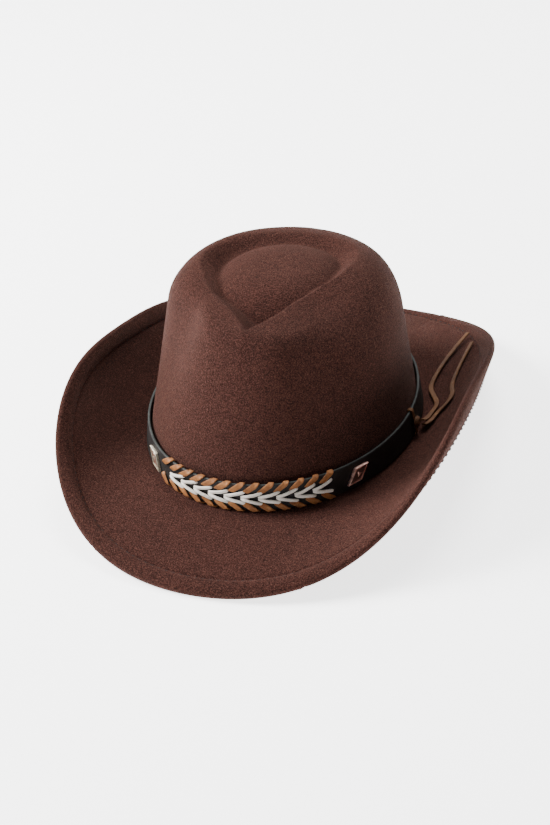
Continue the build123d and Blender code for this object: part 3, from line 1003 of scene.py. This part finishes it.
    def build_knot(self, turn: Matrix) -> None:
        """Build an overhand knot of the same flat lace.

        Args:
            turn: rotation of the strap's face at the tie.
        """
        knot = bmesh.new()
        for wraps, tilt, size in ((1.0, 0.35, 1.0), (1.0, -0.5, 0.86)):
            points = []
            for i in range(25):
                a = 2 * math.pi * wraps * i / 24
                points.append(Vector((2.6 * size * math.cos(a) + 0.4, 2.3 * size * math.sin(a) * math.cos(tilt),
                                      2.5 + 1.0 * math.sin(a) * math.sin(tilt) + 0.9 * math.cos(a) * tilt)))
            path = [SHAPE.on_band(self.tie_at, p.x, p.y, p.z) for p in points]
            out = turn @ Vector((0, 0, 1))
            middle = sum(path, Vector()) / len(path)
            normals = [((p - middle).normalized() + out * 0.8).normalized() for p in path]
            tube(knot, path, normals, lambda t: 1.35, lambda t: 0.55, 10, 0.6)
        verts = bmesh.ops.create_icosphere(knot, subdivisions=3, radius=1.0)["verts"]
        place = SHAPE.band_frame(self.tie_at, SHAPE.middle) @ Matrix.Translation((0.4, 0, 2.5))
        bmesh.ops.transform(knot, matrix=place @ Matrix.Diagonal((2.6, 2.2, 1.5, 1)), verts=verts)
        piece = new_piece("tie_lace_knot", knot, BodyName.BAND, self.finishes.lace)
        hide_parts("tie_knot")

    def build_tails(self) -> None:
        """Lay both loose ends of the lace along the brim."""
        inner = [(90.0, 6.6, 25.2), (90.4, 13.5, 20.9), (91.0, 23.0, 19.8), (92.6, 33.0, 20.8), (87.4, 42.0, 19.9),
                 (81.9, 51.0, 19.4), (80.8, 62.0, 19.7), (81.6, 77.0, 20.7), (84.4, 96.3, 22.6), (89.9, 113.0, 26.6)]
        outer = [(91.6, 5.9, 22.4), (93.9, 13.0, 20.6), (95.0, 22.5, 21.3), (99.2, 31.5, 23.5), (100.6, 40.5, 25.3),
                 (96.6, 50.5, 24.0), (95.3, 63.0, 24.5), (95.4, 81.9, 26.3), (96.3, 100.0, 27.8)]
        for name, route, length, tilts in (("inner", inner, 0.1118, (80, 65)), ("outer", outer, 0.0967, (70, 50))):
            curve = bpy.data.curves.new("lace_tail_" + name + "_strip", "CURVE")
            curve.dimensions = "3D"
            curve.twist_mode = "Z_UP"
            curve.extrude = 1.05 * MM
            curve.bevel_depth = 0.55 * MM
            curve.bevel_resolution = 3
            curve.use_fill_caps = True
            curve.resolution_u = 10
            spline = curve.splines.new("NURBS")
            spline.points.add(len(route) - 1)
            for i, (point, place) in enumerate(zip(spline.points, route)):
                point.co = (place[0] * MM, place[1] * MM, place[2] * MM, 1)
                share = i / (len(route) - 1)
                point.tilt = math.radians(tilts[0] * (1 - share) + tilts[1] * share + 12 * math.sin(i * 1.7))
            spline.order_u = 3
            spline.use_endpoint_u = True
            curve.materials.append(self.finishes.lace)
            piece = bpy.data.objects.new("lace_tail_" + name + "_strip", curve)
            bpy.context.scene.collection.objects.link(piece)
            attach(piece, BodyName.BAND.value)
            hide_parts("lace_tail_" + name)
            log.info("lace tail %s laid", name)


def smooth_line(points: Sequence[Vector], steps: int) -> list[Vector]:
    """Catmull-Rom line through points.

    Args:
        points: the points to pass through.
        steps: segments between neighbours.

    Returns:
        The finer line.
    """
    line = []
    last = len(points) - 1
    for i in range(last):
        a, b, c, d = (points[min(max(i + k, 0), last)] for k in (-1, 0, 1, 2))
        for j in range(steps):
            t = j / steps
            line.append(0.5 * (2 * b + (c - a) * t + (2 * a - 5 * b + 4 * c - d) * t * t
                               + (3 * b - a - 3 * c + d) * t ** 3))
    line.append(points[-1].copy())
    return line


def dress(node: str, material: bpy.types.Material) -> None:
    """Give a CAD node a better finish."""
    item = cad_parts[node]
    item = item if isinstance(item, bpy.types.Object) else bpy.data.objects[node]
    for i in range(max(1, len(item.material_slots))):
        if i < len(item.material_slots):
            item.material_slots[i].material = material
        else:
            item.data.materials.append(material)


@dataclass
class Studio:
    """Pale floor, soft light and the camera."""

    azimuth: float = 23.34
    elevation: float = 33.60
    roll: float = -4.56
    distance: float = 1.2
    lens: float = 80.6
    target: tuple = (-0.00764, 0.0, 0.01787)

    def build(self) -> None:
        """Build the floor, the lights and the camera."""
        self.build_floor()
        world = bpy.data.worlds.new("studio_air")
        world.use_nodes = True
        back = world.node_tree.nodes["Background"]
        back.inputs["Color"].default_value = (1, 1, 1, 1)
        back.inputs["Strength"].default_value = 0.22
        bpy.context.scene.world = world
        self.light("window_light", (-1.3, -0.2, 0.95), 0.7, 84.0)
        self.light("front_fill", (-0.6, -1.6, 0.9), 1.2, 2.0)
        self.light("top_light", (-0.1, 0.8, 1.5), 0.8, 34.0)
        self.camera()

    def build_floor(self) -> None:
        """Lay a wide pale floor at the table's height."""
        floor = bmesh.new()
        bmesh.ops.create_grid(floor, x_segments=8, y_segments=8, size=6.0)
        mesh = bpy.data.meshes.new("floor")
        floor.to_mesh(mesh)
        floor.free()
        piece = bpy.data.objects.new("floor", mesh)
        bpy.context.scene.collection.objects.link(piece)
        s = Shader("floor_paper")
        s.set(Base_Color=(0.95, 0.95, 0.95, 1), Roughness=0.9, Specular_IOR_Level=0.1,
              Emission_Color=(1, 1, 1, 1), Emission_Strength=2.8)
        mesh.materials.append(s.material)

    def light(self, name: str, place: tuple[float, float, float], size: float, power: float) -> None:
        """Hang a square soft light that faces the hat."""
        lamp = bpy.data.lights.new(name, "AREA")
        lamp.size = size
        lamp.energy = power
        item = bpy.data.objects.new(name, lamp)
        item.location = place
        item.rotation_euler = (Vector(place) - Vector((0, 0, 0.06))).to_track_quat("Z", "Y").to_euler()
        bpy.context.scene.collection.objects.link(item)

    def camera(self) -> None:
        """Set the camera at the product view."""
        az, el = math.radians(self.azimuth), math.radians(self.elevation)
        back = Vector((math.sin(az) * math.cos(el), -math.cos(az) * math.cos(el), math.sin(el)))
        right = Vector((math.cos(az), math.sin(az), 0))
        up = back.cross(right)
        turn = Matrix((right, up, back)).transposed()
        data = bpy.data.cameras.new("product_camera")
        data.lens = self.lens
        data.sensor_width = 36
        item = bpy.data.objects.new("product_camera", data)
        place = Matrix.Translation(Vector(self.target) + back * self.distance)
        item.matrix_world = place @ (turn @ Matrix.Rotation(math.radians(self.roll), 3, "Z")).to_4x4()
        bpy.context.scene.collection.objects.link(item)
        bpy.context.scene.camera = item


def main() -> None:
    """Build the hat and its studio in order."""
    finishes = Finishes()
    Crown(finishes).build()
    Brim(finishes).build()
    dress("brim_wire", finishes.nickel)
    Sweatband(finishes).build()
    Hatband(finishes).build()
    Studio().build()


if __name__ == "__main__":
    logging.basicConfig(level=logging.INFO, format="%(name)s %(message)s")
    main()
